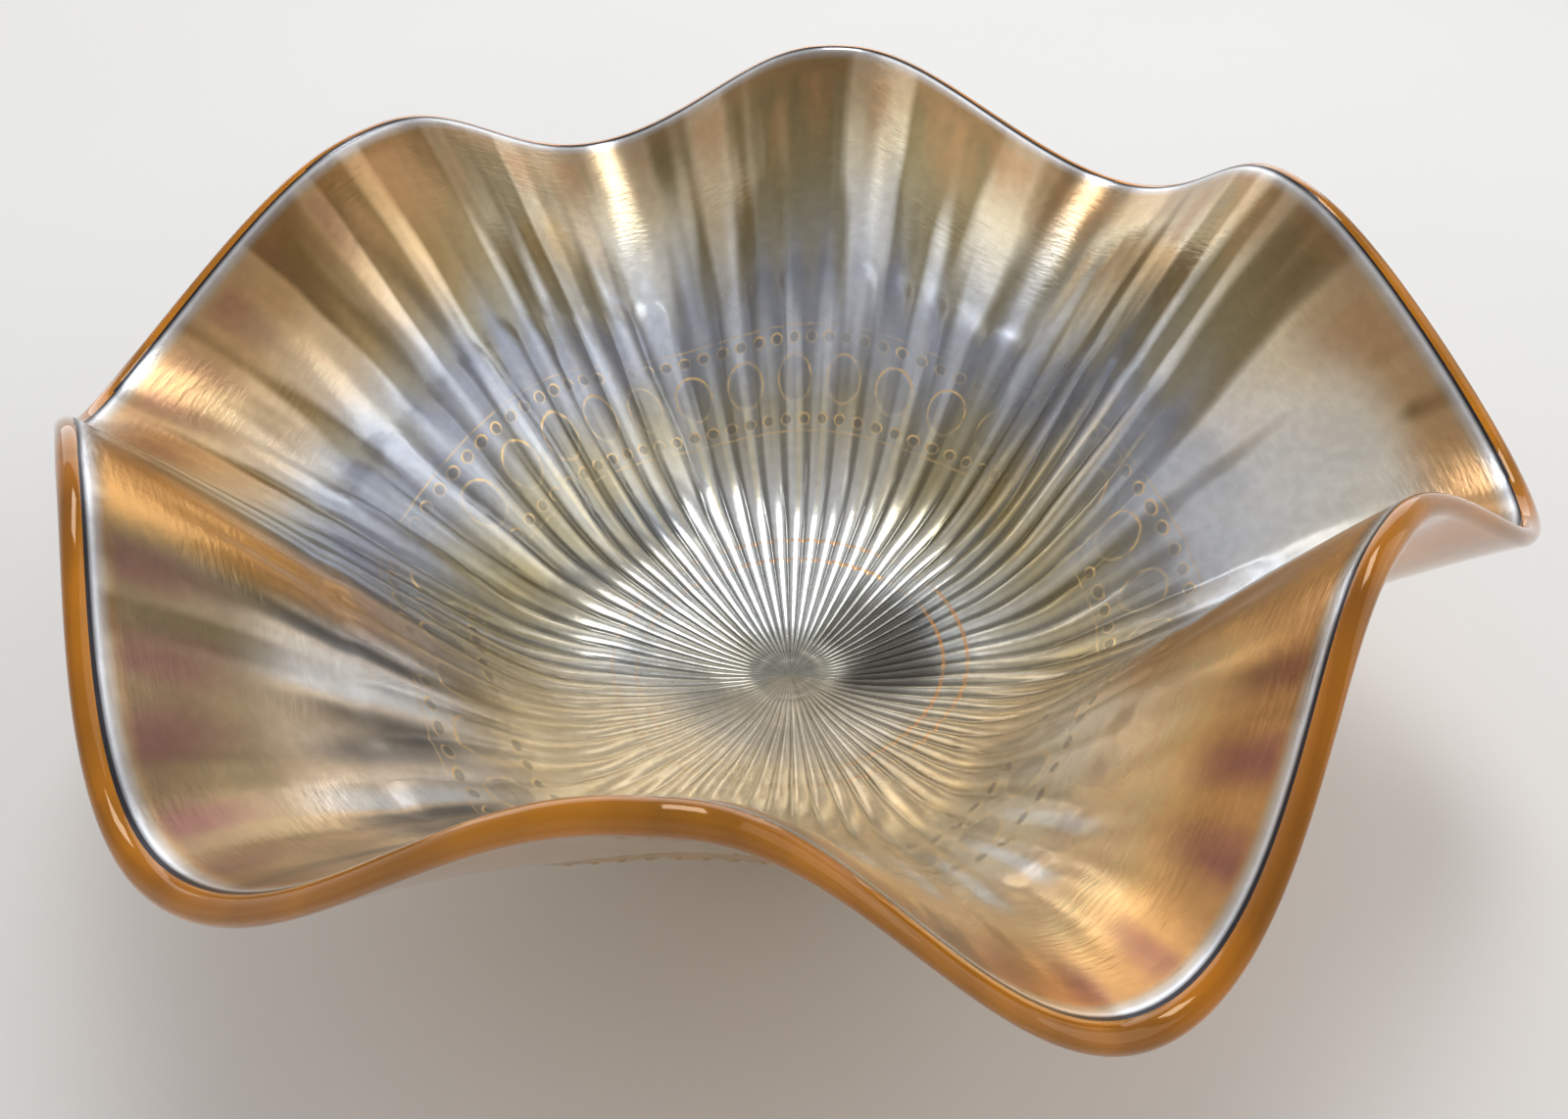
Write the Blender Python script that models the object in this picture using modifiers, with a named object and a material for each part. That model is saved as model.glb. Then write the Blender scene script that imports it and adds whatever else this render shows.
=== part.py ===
"""Ruffled pressed-glass bowl with a rayed inside, on a plain collar base.

The glass is turned as a round blank, the rays are pressed into its inside, and the soft
wall is then crimped into ruffles, which is the order in which such a bowl is made.
Units are metres and +Z is up. The origin is the centre of the plane that the foot rests on.
"""

import math

import bpy
from mathutils import Vector

# Collar base: the plain foot ring
COLLAR_RADIUS = 0.0375
COLLAR_WIDTH = 0.005
COLLAR_HEIGHT = 0.005
COLLAR_ROUNDING = 0.0012
COLLAR_COLUMNS = 64

# Glass wall, along the middle of its thickness, before it is crimped
WALL = 0.005
FLOOR_RADIUS = 0.029
HEEL_RADIUS = 0.056
SHOULDER_RADIUS = 0.085
SHOULDER_HEIGHT = 0.057
SEAT_MARGIN = 0.001
SEAT_LEAD = 0.002

# Heel: the glass is thicker over the foot, so the inside is a dish that climbs from its flat middle to
# the wall. The fill starts at the first radius, is whole at the second, and eases off between the last two.
HEEL_FILL = 0.005
FILL_START_RADIUS = 0.010
FILL_WHOLE_RADIUS = 0.042
FILL_EASE_RADIUS = 0.030
FILL_END_RADIUS = 0.060

# Rays pressed into the inside, round a plain disc
RAYS = 64
RAY_HEIGHT = 0.0009
RAY_TIP = 0.008
DISC_RADIUS = 0.0065

# Rim, along the middle of its edge: its mean place, and how far a mean ruffle swings from it
RIM_RADIUS = 0.1213
RIM_HEIGHT = 0.086
RUFFLE_FLARE = 0.0094
RUFFLE_LIFT = 0.0152

# Each turn of the hand-crimped edge: azimuth in degrees, and its own swing outwards and upwards as
# shares of a mean ruffle's. Gathered folds and flared lobes alternate, and no two are quite alike.
RUFFLES = [
    (24.5, -1.10, 0.73),
    (53.5, 0.71, -1.05),
    (84.5, -1.73, 1.15),
    (112.5, 0.77, -0.69),
    (141.0, -0.72, 0.99),
    (174.5, 1.25, -0.79),
    (204.5, -0.67, 1.09),
    (233.0, 1.06, -0.68),
    (266.5, -0.51, 1.12),
    (294.3, 0.77, -1.57),
    (324.5, -1.26, 0.92),
    (354.0, 1.25, -1.35),
]
LOBE_TIGHTNESS = 1.2
CRIMP_REACH = 0.4

# Where the pressed body ends and the crimped rim begins, as a share of the wall's curve
RIM_START = 0.72
FIT_GAP = 0.0003

# Fineness of the mesh
BODY_COLUMNS = 2 * RAYS
FLOOR_ROWS = 4
BODY_ROWS = 8
RIM_ROWS = 5
EDGE_STEPS = 4

# Sizes that follow from the ones above
SEAT_HEIGHT = COLLAR_HEIGHT + FIT_GAP
SEAT_RADIUS = COLLAR_RADIUS + SEAT_MARGIN
FLOOR_MIDDLE = SEAT_HEIGHT + WALL / 2

# Control points of the wall's curve, as radius and height
WALL_CURVE = [
    Vector((FLOOR_RADIUS, FLOOR_MIDDLE)),
    Vector((HEEL_RADIUS, FLOOR_MIDDLE)),
    Vector((SHOULDER_RADIUS, SHOULDER_HEIGHT)),
    Vector((RIM_RADIUS, RIM_HEIGHT)),
]


def wall_point(t):
    """Middle of the blank's wall at share t of its curve, as (radius, height)."""
    floor, heel, shoulder, rim = WALL_CURVE
    rest = 1 - t
    return floor * rest**3 + heel * (3 * t * rest**2) + shoulder * (3 * t**2 * rest) + rim * t**3


def wall_slope(t):
    """Direction up the blank's wall at share t, with the curve's length per unit of t."""
    floor, heel, shoulder, rim = WALL_CURVE
    rest = 1 - t
    return 3 * ((heel - floor) * rest**2 + (shoulder - heel) * (2 * t * rest) + (rim - shoulder) * t**2)


def wall_inward(t):
    """Unit vector out of the wall, towards the inside of the bowl."""
    slope = wall_slope(t).normalized()
    return Vector((-slope.y, slope.x))


def crimp_weight(t):
    """How much of the rim's crimping the wall feels at share t: none at the floor, all at the rim."""
    return t**3 + CRIMP_REACH * 3 * t**2 * (1 - t)


def smooth_step(low, high, value):
    """0 below low, 1 above high, with a smooth rise between them."""
    share = min(1.0, max(0.0, (value - low) / (high - low)))
    return share * share * (3 - 2 * share)


def heel_fill(radius):
    """How far the thicker glass lifts the inner face at this radius."""
    climb = smooth_step(FILL_START_RADIUS, FILL_WHOLE_RADIUS, radius)
    ease = smooth_step(FILL_EASE_RADIUS, FILL_END_RADIUS, radius)
    return HEEL_FILL * climb * (1 - ease)


def ruffle_offset(azimuth):
    """How far crimping moves the rim out and up at this azimuth, in degrees."""
    turns = RUFFLES + [(RUFFLES[0][0] + 360, *RUFFLES[0][1:])]
    azimuth = (azimuth - turns[0][0]) % 360 + turns[0][0]
    for (low, *start), (high, *end) in zip(turns, turns[1:]):
        if azimuth <= high:
            flare = (1 - math.cos(math.pi * (azimuth - low) / (high - low))) / 2
            fold, lobe = Vector(start), Vector(end)
            if lobe.x < fold.x:
                fold, lobe, flare = lobe, fold, 1 - flare
            out, up = fold.lerp(lobe, flare**LOBE_TIGHTNESS)
            return out * RUFFLE_FLARE, up * RUFFLE_LIFT


class Profile:
    """Outline of a turned blank: points, each with its share of the crimping and of a ray's rise."""

    def __init__(self):
        self.points = []
        self.weights = []
        self.rises = []

    def add(self, point, weight=0.0, rise=(0.0, 0.0)):
        self.points.append(Vector((point[0], 0, point[1])))
        self.weights.append(weight)
        self.rises.append(Vector((rise[0], rise[1], 0)))

    def add_wall(self, t, side, rise=0.0):
        """Adds the wall's inner face (side 1) or outer face (side -1) at share t of its curve."""
        inward = wall_inward(t)
        point = wall_point(t) + inward * (side * WALL / 2)
        if side == 1:
            point.y += heel_fill(point.x)
        self.add(point, crimp_weight(t), inward * rise)

    def turn(self, name, columns, closed=False):
        """Turns the outline about Z with a Screw modifier and returns the object, crimped."""
        count = len(self.points)
        edges = [(i, i + 1) for i in range(count - 1)]
        if closed:
            edges.append((count - 1, 0))
        mesh = bpy.data.meshes.new(name)
        mesh.from_pydata(self.points, edges, [])
        weight = mesh.attributes.new("crimp", "FLOAT", "POINT")
        weight.data.foreach_set("value", self.weights)
        rise = mesh.attributes.new("ray", "FLOAT_VECTOR", "POINT")
        rise.data.foreach_set("vector", [number for vector in self.rises for number in vector])
        blank = bpy.data.objects.new(name + "_blank", mesh)
        glass.objects.link(blank)
        screw = blank.modifiers.new("turn", "SCREW")
        screw.axis = "Z"
        screw.steps = columns
        screw.render_steps = columns
        screw.use_merge_vertices = True
        screw.merge_threshold = 0.00001
        scene_state = bpy.context.evaluated_depsgraph_get()
        turned = bpy.data.meshes.new_from_object(blank.evaluated_get(scene_state))
        bpy.data.objects.remove(blank)
        crimp(turned)
        turned.name = name
        piece = bpy.data.objects.new(name, turned)
        glass.objects.link(piece)
        return piece


def crimp(mesh):
    """Presses the rays into a turned blank and bends its wall into the ruffles."""
    weights = mesh.attributes["crimp"].data
    rises = mesh.attributes["ray"].data
    for vertex, weight, rise in zip(mesh.vertices, weights, rises):
        angle = math.atan2(vertex.co.y, vertex.co.x)
        out, lift = ruffle_offset(math.degrees(angle))
        crest = (1 + math.cos(RAYS * angle)) / 2
        radius = math.hypot(vertex.co.x, vertex.co.y) + weight.value * out + crest * rise.vector[0]
        height = vertex.co.z + weight.value * lift + crest * rise.vector[1]
        vertex.co = (radius * math.cos(angle), radius * math.sin(angle), height)


def glass_finish(name, colour, roughness, metallic):
    """Coloured glass with the metallic film that makes it shine."""
    material = bpy.data.materials.new(name)
    material.use_nodes = True
    shader = material.node_tree.nodes["Principled BSDF"]
    shader.inputs["Base Color"].default_value = (*colour, 1.0)
    shader.inputs["Roughness"].default_value = roughness
    shader.inputs["Metallic"].default_value = metallic
    shader.inputs["IOR"].default_value = 1.52
    return material


def dress(piece, material):
    piece.data.materials.clear()
    piece.data.materials.append(material)
    piece.data.shade_smooth()
    piece.data.set_sharp_from_angle(angle=math.radians(35))


def make_collar_base():
    """The foot ring, with its lower edges rounded off and a flat face to rest on."""
    inner = COLLAR_RADIUS - COLLAR_WIDTH
    ring = Profile()
    ring.add((COLLAR_RADIUS, COLLAR_HEIGHT))
    ring.add((COLLAR_RADIUS, COLLAR_ROUNDING))
    ring.add((COLLAR_RADIUS - COLLAR_ROUNDING, 0))
    ring.add((inner + COLLAR_ROUNDING, 0))
    ring.add((inner, COLLAR_ROUNDING))
    ring.add((inner, COLLAR_HEIGHT))
    piece = ring.turn("collar_base", COLLAR_COLUMNS, closed=True)
    dress(piece, glass_finish("amber_clear_glass", (0.58, 0.36, 0.14), 0.15, 0.1))


def make_bowl_body():
    """The pressed part: dished floor and lower wall, with rays inside and a flat seat for the foot ring."""
    body = Profile()
    floor = FLOOR_MIDDLE + WALL / 2
    body.add((0, floor))
    for row in range(FLOOR_ROWS):
        radius = DISC_RADIUS + (FLOOR_RADIUS - DISC_RADIUS) * row / FLOOR_ROWS
        rise = RAY_HEIGHT * smooth_step(DISC_RADIUS, FLOOR_RADIUS, radius)
        body.add((radius, floor + heel_fill(radius)), rise=(0, rise))
    stations = [RIM_START * row / BODY_ROWS for row in range(BODY_ROWS + 1)]
    rim_start = wall_point(RIM_START)
    for t in stations:
        to_tip = (rim_start - wall_point(t)).length
        body.add_wall(t, 1, RAY_HEIGHT * smooth_step(0, RAY_TIP, to_tip))
    for t in reversed(stations):
        outer = wall_point(t) - wall_inward(t) * (WALL / 2)
        if outer.x > SEAT_RADIUS + SEAT_LEAD:
            body.add_wall(t, -1)
    body.add((SEAT_RADIUS, SEAT_HEIGHT))
    body.add((0, SEAT_HEIGHT))
    piece = body.turn("bowl_body", BODY_COLUMNS)
    dress(piece, glass_finish("rayed_film_glass", (0.44, 0.41, 0.32), 0.25, 0.6))


def make_ruffled_rim():
    """The flared and crimped band above the rays, with its fire-polished round edge."""
    rim = Profile()
    start = RIM_START + FIT_GAP / wall_slope(RIM_START).length
    stations = [start + (1 - start) * row / RIM_ROWS for row in range(RIM_ROWS + 1)]
    for t in stations:
        rim.add_wall(t, 1)
    for step in range(1, EDGE_STEPS):
        turn = math.pi * step / EDGE_STEPS
        round_off = wall_inward(1) * math.cos(turn) + wall_slope(1).normalized() * math.sin(turn)
        rim.add(wall_point(1) + round_off * (WALL / 2), crimp_weight(1))
    for t in reversed(stations):
        rim.add_wall(t, -1)
    piece = rim.turn("ruffled_rim", BODY_COLUMNS, closed=True)
    dress(piece, glass_finish("marigold_film_glass", (0.62, 0.34, 0.10), 0.2, 0.4))


for leftover in list(bpy.data.objects):
    bpy.data.objects.remove(leftover)
glass = bpy.data.collections.new("ruffled_glass_bowl")
bpy.context.scene.collection.children.link(glass)
make_collar_base()
make_bowl_body()
make_ruffled_rim()
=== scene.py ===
# %% [markdown]
# # A ruffled bowl of marigold carnival glass
# The real bowl is one pour of glass. It was pressed in a mould, taken out hot, crimped by hand into six
# ruffles and sprayed with a metal salt, which left a film that shines silver, steel blue, olive, gold and
# rose. The packed solids already hold its size and its place, so this lesson starts from them and dresses
# each of the three solids with a finer surface of the same shape.

import bpy
import numpy as np
from mathutils import Matrix, Vector


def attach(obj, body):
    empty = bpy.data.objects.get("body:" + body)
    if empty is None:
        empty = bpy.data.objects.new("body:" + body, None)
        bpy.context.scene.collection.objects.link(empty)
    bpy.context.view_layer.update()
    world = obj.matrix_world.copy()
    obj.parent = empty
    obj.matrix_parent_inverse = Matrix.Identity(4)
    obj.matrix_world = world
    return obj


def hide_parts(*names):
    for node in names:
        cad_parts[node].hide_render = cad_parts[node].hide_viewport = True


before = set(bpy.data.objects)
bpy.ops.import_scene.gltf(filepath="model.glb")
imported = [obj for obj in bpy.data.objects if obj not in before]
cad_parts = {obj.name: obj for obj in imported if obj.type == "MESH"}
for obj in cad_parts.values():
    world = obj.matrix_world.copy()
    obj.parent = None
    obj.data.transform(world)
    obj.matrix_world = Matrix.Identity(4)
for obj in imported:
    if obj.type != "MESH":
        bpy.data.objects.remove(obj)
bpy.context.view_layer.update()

# %% [markdown]
# ## The blank
# Before it is crimped, the bowl is a turned shape: a dished floor, a heel that curls up and a wall that
# flares to the rim. A cubic curve with four control points holds the middle of the wall, half its thickness
# from each face. Over the foot the glass is thicker inside. The numbers are those of the packed solids, so
# the dressed glass lands on them. A screw modifier could turn such a line, but a formula also gives the
# direction of the wall at any height, which the relief needs.

# %% Sizes of the blank
MM = 0.001
WALL = 5.0 * MM
FLOOR_RADIUS = 29.0 * MM
FLOOR_TOP = 10.3 * MM
SEAT_HEIGHT = 5.3 * MM
FLOOR_MIDDLE = (FLOOR_TOP + SEAT_HEIGHT) / 2
WALL_CURVE = np.array([
    (FLOOR_RADIUS, FLOOR_MIDDLE),
    (56.0 * MM, FLOOR_MIDDLE),
    (85.0 * MM, 57.0 * MM),
    (121.3 * MM, 86.0 * MM),
])
RIM_START = 0.72
HEEL_FILL = 5.0 * MM
FILL_CLIMB = (10.0 * MM, 42.0 * MM)
FILL_EASE = (30.0 * MM, 60.0 * MM)
HEEL_CRIMP = 0.4
EDGE_EASE = 0.17 * MM
EDGE_EASE_FROM = 0.9
print(f"before crimping, the rim is {2 * WALL_CURVE[-1, 0] / MM:.0f} mm across")

# %% The line of the wall


def smooth_step(low, high, value):
    """0 below low, 1 above high, with a smooth rise between them."""
    share = np.clip((value - low) / (high - low), 0, 1)
    return share * share * (3 - 2 * share)


def wall_line(share):
    """Middle of the wall at each share of its curve, as radius and height."""
    share = np.asarray(share, float)[:, None]
    rest = 1 - share
    floor, heel, shoulder, rim = WALL_CURVE
    return floor * rest**3 + heel * (3 * share * rest**2) + shoulder * (3 * share**2 * rest) + rim * share**3


def wall_upward(share):
    """Unit direction up the wall at each share of its curve."""
    share = np.asarray(share, float)[:, None]
    rest = 1 - share
    floor, heel, shoulder, rim = WALL_CURVE
    slope = (heel - floor) * rest**2 + (shoulder - heel) * (2 * share * rest) + (rim - shoulder) * share**2
    return slope / np.linalg.norm(slope, axis=1, keepdims=True)


def crimp_share(share):
    """How much of the rim's crimping the wall feels: none at the floor, all at the rim."""
    return share**3 + HEEL_CRIMP * 3 * share**2 * (1 - share)


def heel_fill(radius):
    """How far the thicker glass over the foot lifts the inner face at each radius."""
    return HEEL_FILL * smooth_step(*FILL_CLIMB, radius) * (1 - smooth_step(*FILL_EASE, radius))


def half_wall(share):
    """Half the thickness of the wall, which the fire-polishing drew in a little at the edge."""
    return WALL / 2 - EDGE_EASE * smooth_step(EDGE_EASE_FROM, 1.0, np.asarray(share, float))


steps_up = np.linspace(0, 1, 201)
wall_length = np.linalg.norm(np.diff(wall_line(steps_up), axis=0), axis=1).sum()
print(f"the wall runs {wall_length / MM:.0f} mm from the floor to the rim")

# %% [markdown]
# ## The ruffles
# A glassmaker pulls the soft rim in at six folds and lets it fall out into six lobes between them. Each turn
# of the rim is one line here: its azimuth, and how far it swings out and up as shares of a mean ruffle.
# Working column by column in numpy moves a few hundred thousand points at once, which a sculpted mesh or a
# lattice would not do so evenly.

# %% Swing of the rim at every column
COLUMNS = 640
RAYS = 64
RUFFLE_FLARE = 9.4 * MM
RUFFLE_LIFT = 15.2 * MM
LOBE_TIGHTNESS = 1.2
RUFFLES = np.array([
    (24.5, -1.10, 0.73),
    (53.5, 0.71, -1.05),
    (84.5, -1.73, 1.15),
    (112.5, 0.77, -0.69),
    (141.0, -0.72, 0.99),
    (174.5, 1.25, -0.79),
    (204.5, -0.67, 1.09),
    (233.0, 1.06, -0.68),
    (266.5, -0.51, 1.12),
    (294.3, 0.77, -1.57),
    (324.5, -1.26, 0.92),
    (354.0, 1.25, -1.35),
])

azimuth = 2 * np.pi * np.arange(COLUMNS) / COLUMNS


def swing(azimuth):
    """Outward and upward swing of the rim at each azimuth, and how far it is from fold (0) to lobe (1)."""
    degrees = (np.degrees(azimuth) - RUFFLES[0, 0]) % 360 + RUFFLES[0, 0]
    start = np.searchsorted(RUFFLES[:, 0], degrees, side="right") - 1
    first = RUFFLES[start]
    second = RUFFLES[(start + 1) % len(RUFFLES)]
    step = (degrees - first[:, 0]) / ((second[:, 0] - first[:, 0]) % 360)
    from_first = (1 - np.cos(np.pi * step)) / 2
    opens = second[:, 1] > first[:, 1]
    flare = np.where(opens, from_first, 1 - from_first)
    fold = np.where(opens[:, None], first, second)
    lobe = np.where(opens[:, None], second, first)
    place = fold + (lobe - fold) * (flare**LOBE_TIGHTNESS)[:, None]
    return place[:, 1] * RUFFLE_FLARE, place[:, 2] * RUFFLE_LIFT, flare


swing_out, swing_up, flare = swing(azimuth)
print(f"the rim swings {np.ptp(swing_out) / MM:.0f} mm in and out")
print(f"and {np.ptp(swing_up) / MM:.0f} mm up and down")

# %% [markdown]
# ## Rows of the glass
# The whole bowl is one skin: out from the middle of the floor, up the inside, over the edge and down the
# outside to the foot. It is kept as rows, each a ring of the blank: its radius and height, the direction in
# which relief stands out of it, its share of the crimping and its place in the film, which is 0 in the middle
# of the floor and 1 at the end of the edge. One skin gives both the shape and the smooth normals across the
# places where it is divided.

# %% Rows of a face
RADIUS, HEIGHT, OUT, UP, CRIMP, PLACE = range(6)
EDGE_PLACE = 0.95
FLOOR_PLACE = 0.2


def film_place(share):
    """Place of the wall in the film, from the floor's edge to the start of the rounded rim."""
    return FLOOR_PLACE + (EDGE_PLACE - FLOOR_PLACE) * share


def wall_rows(share, side):
    """Rows on the inside (side 1) or the outside (side -1) of the wall."""
    line = wall_line(share)
    upward = wall_upward(share)
    outward = side * np.column_stack([-upward[:, 1], upward[:, 0]])
    face = line + outward * half_wall(share)[:, None]
    if side == 1:
        face[:, HEIGHT] += heel_fill(face[:, RADIUS])
    return np.column_stack([face, outward, crimp_share(share), film_place(share)])


def flat_rows(radius, height, facing):
    """Rows of a level face that looks up (facing 1) or down (facing -1)."""
    level = np.full_like(radius, height)
    place = FLOOR_PLACE * np.minimum(1, radius / FLOOR_RADIUS)
    return np.column_stack([radius, level, level * 0, level * 0 + facing, level * 0, place])


def edge_rows(steps):
    """Rows over the fire-polished edge, a half circle round the middle of the wall."""
    turn = np.pi * np.arange(1, steps) / steps
    upward = wall_upward([1.0])
    inward = np.column_stack([-upward[:, 1], upward[:, 0]])
    outward = inward * np.cos(turn)[:, None] + upward * np.sin(turn)[:, None]
    place = EDGE_PLACE + (1 - EDGE_PLACE) * turn / np.pi
    return np.column_stack([wall_line([1.0]) + outward * half_wall(1.0), outward, turn * 0 + 1, place])


print(f"the rim starts at {film_place(RIM_START):.2f} of the film")

# %% Rows of the inside and the edge
POLE_RADIUS = 1.2 * MM
FLOOR_END = 27.8 * MM
FLOOR_ROWS = 19
RAY_ROWS = 48
RIM_ROWS = 36
EDGE_STEPS = 24

inside_floor = flat_rows(np.linspace(POLE_RADIUS, FLOOR_END, FLOOR_ROWS), FLOOR_TOP, 1)
inside_floor[:, HEIGHT] += heel_fill(inside_floor[:, RADIUS])
inside_body = wall_rows(np.linspace(0, RIM_START, RAY_ROWS), 1)
inside_rim = wall_rows(np.linspace(RIM_START, 1, RIM_ROWS)[1:], 1)
inside = np.concatenate([inside_floor, inside_body, inside_rim])
edge = edge_rows(EDGE_STEPS)
print(f"{len(inside)} rows inside and {len(edge)} over the edge")

# %% Rows of the outside
FOOT_RADIUS = 37.5 * MM
FOOT_INSIDE = 32.5 * MM
NECK_SHARE = 0.118
NECK_TURNS = (15, 35, 55, 75, 90)
BAND_TOP, BAND_BOTTOM = 0.635, 0.365
OUTER_RIM_ROWS = 26
SHOULDER_ROWS = 7
BAND_ROWS = 50
HEEL_ROWS = 18
RECESS_ROWS = 8

outside_rim = wall_rows(np.linspace(1, RIM_START, OUTER_RIM_ROWS)[:-1], -1)
outside_shares = np.concatenate([
    np.linspace(RIM_START, BAND_TOP, SHOULDER_ROWS)[:-1],
    np.linspace(BAND_TOP, BAND_BOTTOM, BAND_ROWS)[:-1],
    np.linspace(BAND_BOTTOM, NECK_SHARE, HEEL_ROWS),
])
outside_body = wall_rows(outside_shares, -1)
neck_turn = np.radians(NECK_TURNS)
neck_from = outside_body[-1, :2]
neck_end = np.array([FOOT_RADIUS, SEAT_HEIGHT])
neck_line = np.column_stack([
    neck_end[0] + (neck_from[0] - neck_end[0]) * (1 - np.sin(neck_turn)),
    neck_end[1] + (neck_from[1] - neck_end[1]) * np.cos(neck_turn),
])
neck_place = np.full(len(neck_turn), film_place(NECK_SHARE))
neck = np.column_stack([neck_line, neck_turn * 0 + 1, neck_turn * 0, neck_turn * 0, neck_place])
recess = flat_rows(np.linspace(FOOT_INSIDE, POLE_RADIUS, RECESS_ROWS), SEAT_HEIGHT, -1)
skin = np.concatenate([inside, edge, outside_rim, outside_body, neck])
print(f"the skin has {len(skin)} rows of {COLUMNS} points")

# %% [markdown]
# ## Rays and flutes inside
# The mould pressed 64 rays into the inside. On the glass each is a rounded rib with a narrow groove beside
# it, which starts at a plain disc in the middle and ends in a rounded tip below the rim. Above the tips the
# hot glass kept only soft flutes and the marks of the hand that crimped it. Relief is worked out as a height
# in metres along each row's own direction. A displacement in the finish would look alike from afar, but real
# points also give the mesh its rays.

# %% Where the rays run
RAY_WANDER = 0.07
WANDER_WAVES = ((9, 2.5), (14, -3.5), (23, 4.5))
WANDER_RISE = (0.05, 0.45)


def path_along(rows):
    """Distance along a run of rows, in metres, from its first row."""
    return np.concatenate([[0], np.linalg.norm(np.diff(rows[:, :2], axis=0), axis=1).cumsum()])


draw = np.random.default_rng(64)
inside_path = path_along(inside)[:, None]
inside_radius = inside[:, RADIUS, None]
inside_share = (inside[:, PLACE, None] - FLOOR_PLACE) / (EDGE_PLACE - FLOOR_PLACE)
ray_wander = np.zeros((len(inside), COLUMNS))
for waves, turns in WANDER_WAVES:
    lag = draw.random() * 2 * np.pi
    ray_wander += RAY_WANDER * np.sin(waves * azimuth + lag + turns * np.pi * inside_share)
ray_wander *= smooth_step(*WANDER_RISE, inside_share)
ray_turn = RAYS * azimuth / (2 * np.pi) + 0.5 + ray_wander
across = ray_turn % 1 - 0.5
ray_of_column = np.floor(ray_turn).astype(int) % RAYS
pitch = 2 * np.pi * inside_radius / RAYS
print(f"{RAYS} rays, {pitch.max() / MM:.1f} mm apart at the rim")

# %% Rays
RAY_HEIGHT = 0.9 * MM
RAY_STEEPNESS = 0.24
RAY_ROUNDNESS = 0.42
WEAKEST_RAY = 0.82
RAY_VARIETY = 0.36
DISC_RADIUS = 6.5 * MM
TIP_SHARE = 0.70
TIP_LENGTH = 5.0 * MM
TIP_SCATTER = 0.8 * MM
TIP_ROUNDING = 1.96

tip_path = np.interp(TIP_SHARE, inside_share[:, 0], inside_path[:, 0])
tip_path = tip_path + draw.normal(0, TIP_SCATTER, RAYS)
rounding = pitch / 2 * (1 - np.sqrt(1 - (TIP_ROUNDING * across) ** 2))
to_tip = tip_path[ray_of_column] - inside_path - rounding
ray_rise = np.minimum(RAY_HEIGHT, RAY_STEEPNESS * pitch)
ray_rise = ray_rise * smooth_step(DISC_RADIUS, 2 * DISC_RADIUS, inside_radius)
ray_strength = WEAKEST_RAY + RAY_VARIETY * draw.random(RAYS)
ray_rise = ray_rise * np.minimum(1, ray_strength[ray_of_column])
rays = ray_rise * np.cos(np.pi * across) ** RAY_ROUNDNESS * smooth_step(0, TIP_LENGTH, to_tip)
print(f"rays stand {rays.max() / MM:.2f} mm high")

# %% Flutes, marks of the hand and the disc
FLUTE_HEIGHT = 0.70 * MM
FLUTE_RISE, FLUTE_FALL = (0.66, 0.74), (0.76, 0.97)
WEAKEST_FLUTE = 0.5
HAND_HEIGHT = 0.24 * MM
HAND_WAVES = (5, 7, 11, 13, 17)
HAND_TWIST = 3
HAND_RISE, HAND_FALL = (0.3, 0.8), (0.93, 0.99)
DISC_LINE = 5.6 * MM
DISC_LINE_HEIGHT = 0.25 * MM
DISC_LINE_WIDTH = 0.35 * MM

flute_strength = WEAKEST_FLUTE + (1 - WEAKEST_FLUTE) * draw.random(RAYS)
flute_fade = smooth_step(*FLUTE_RISE, inside_share) * (1 - smooth_step(*FLUTE_FALL, inside_share))
flutes = FLUTE_HEIGHT * flute_fade * flute_strength[ray_of_column] * np.cos(np.pi * across) ** 2

hand = np.zeros_like(rays)
for waves in HAND_WAVES:
    lag = draw.random() * 2 * np.pi
    twist = draw.uniform(-HAND_TWIST, HAND_TWIST)
    hand += np.sin(waves * azimuth + lag + twist * np.pi * inside_share) / len(HAND_WAVES)
hand *= HAND_HEIGHT * smooth_step(*HAND_RISE, inside_share) * (1 - smooth_step(*HAND_FALL, inside_share))

disc_line = DISC_LINE_HEIGHT * np.exp(-(((inside_radius - DISC_LINE) / DISC_LINE_WIDTH) ** 2))
inside_relief = rays + flutes + hand + disc_line
print(f"flutes stand {flutes.max() / MM:.2f} mm high, marks of the hand {hand.max() / MM:.2f} mm")

# %% [markdown]
# ## Beads and ovals outside
# Bowls of this kind carry pressed ornament on the outside, and it shows through the glass from within. Here
# it is a plain traditional band: a row of ovals between two rows of beads, each with a thin thread beside it.
# Each motif is a cap of an ellipsoid that stands out of the wall, so it refracts like the pressed one. Solid
# beads could be joined to the wall by booleans, but heights worked out row by row keep the mesh clean.

# %% Relief of the outside
BEAD_RADIUS = 1.3 * MM
BEAD_HEIGHT = 0.75 * MM
OVAL_WIDTH = 4.2 * MM
OVAL_LENGTH = 5.6 * MM
OVAL_HEIGHT = 0.7 * MM
THREAD_HEIGHT = 0.4 * MM
THREAD_WIDTH = 0.7 * MM
BAND_SHARE = 0.50
BAND_COUNTS = {"ovals": 36, "lower beads": 90, "upper beads": 108}
BEAD_SIDES = {"upper beads": -1, "lower beads": 1}
BEAD_DISTANCE = 9.4 * MM
THREAD_DISTANCE = 12.2 * MM

outside_path = path_along(outside_body)[:, None]
outside_radius = outside_body[:, RADIUS, None]
band_path = np.interp(-BAND_SHARE, -outside_shares, outside_path[:, 0])


def row_of_caps(count, path, half_width, half_length, height):
    """Relief of a row of round or oval caps round the wall."""
    aside = ((count * azimuth / (2 * np.pi) + 0.5) % 1 - 0.5) * 2 * np.pi * outside_radius / count
    reach = (aside / half_width) ** 2 + ((outside_path - path) / half_length) ** 2
    return height * np.sqrt(np.clip(1 - reach, 0, None))


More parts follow.
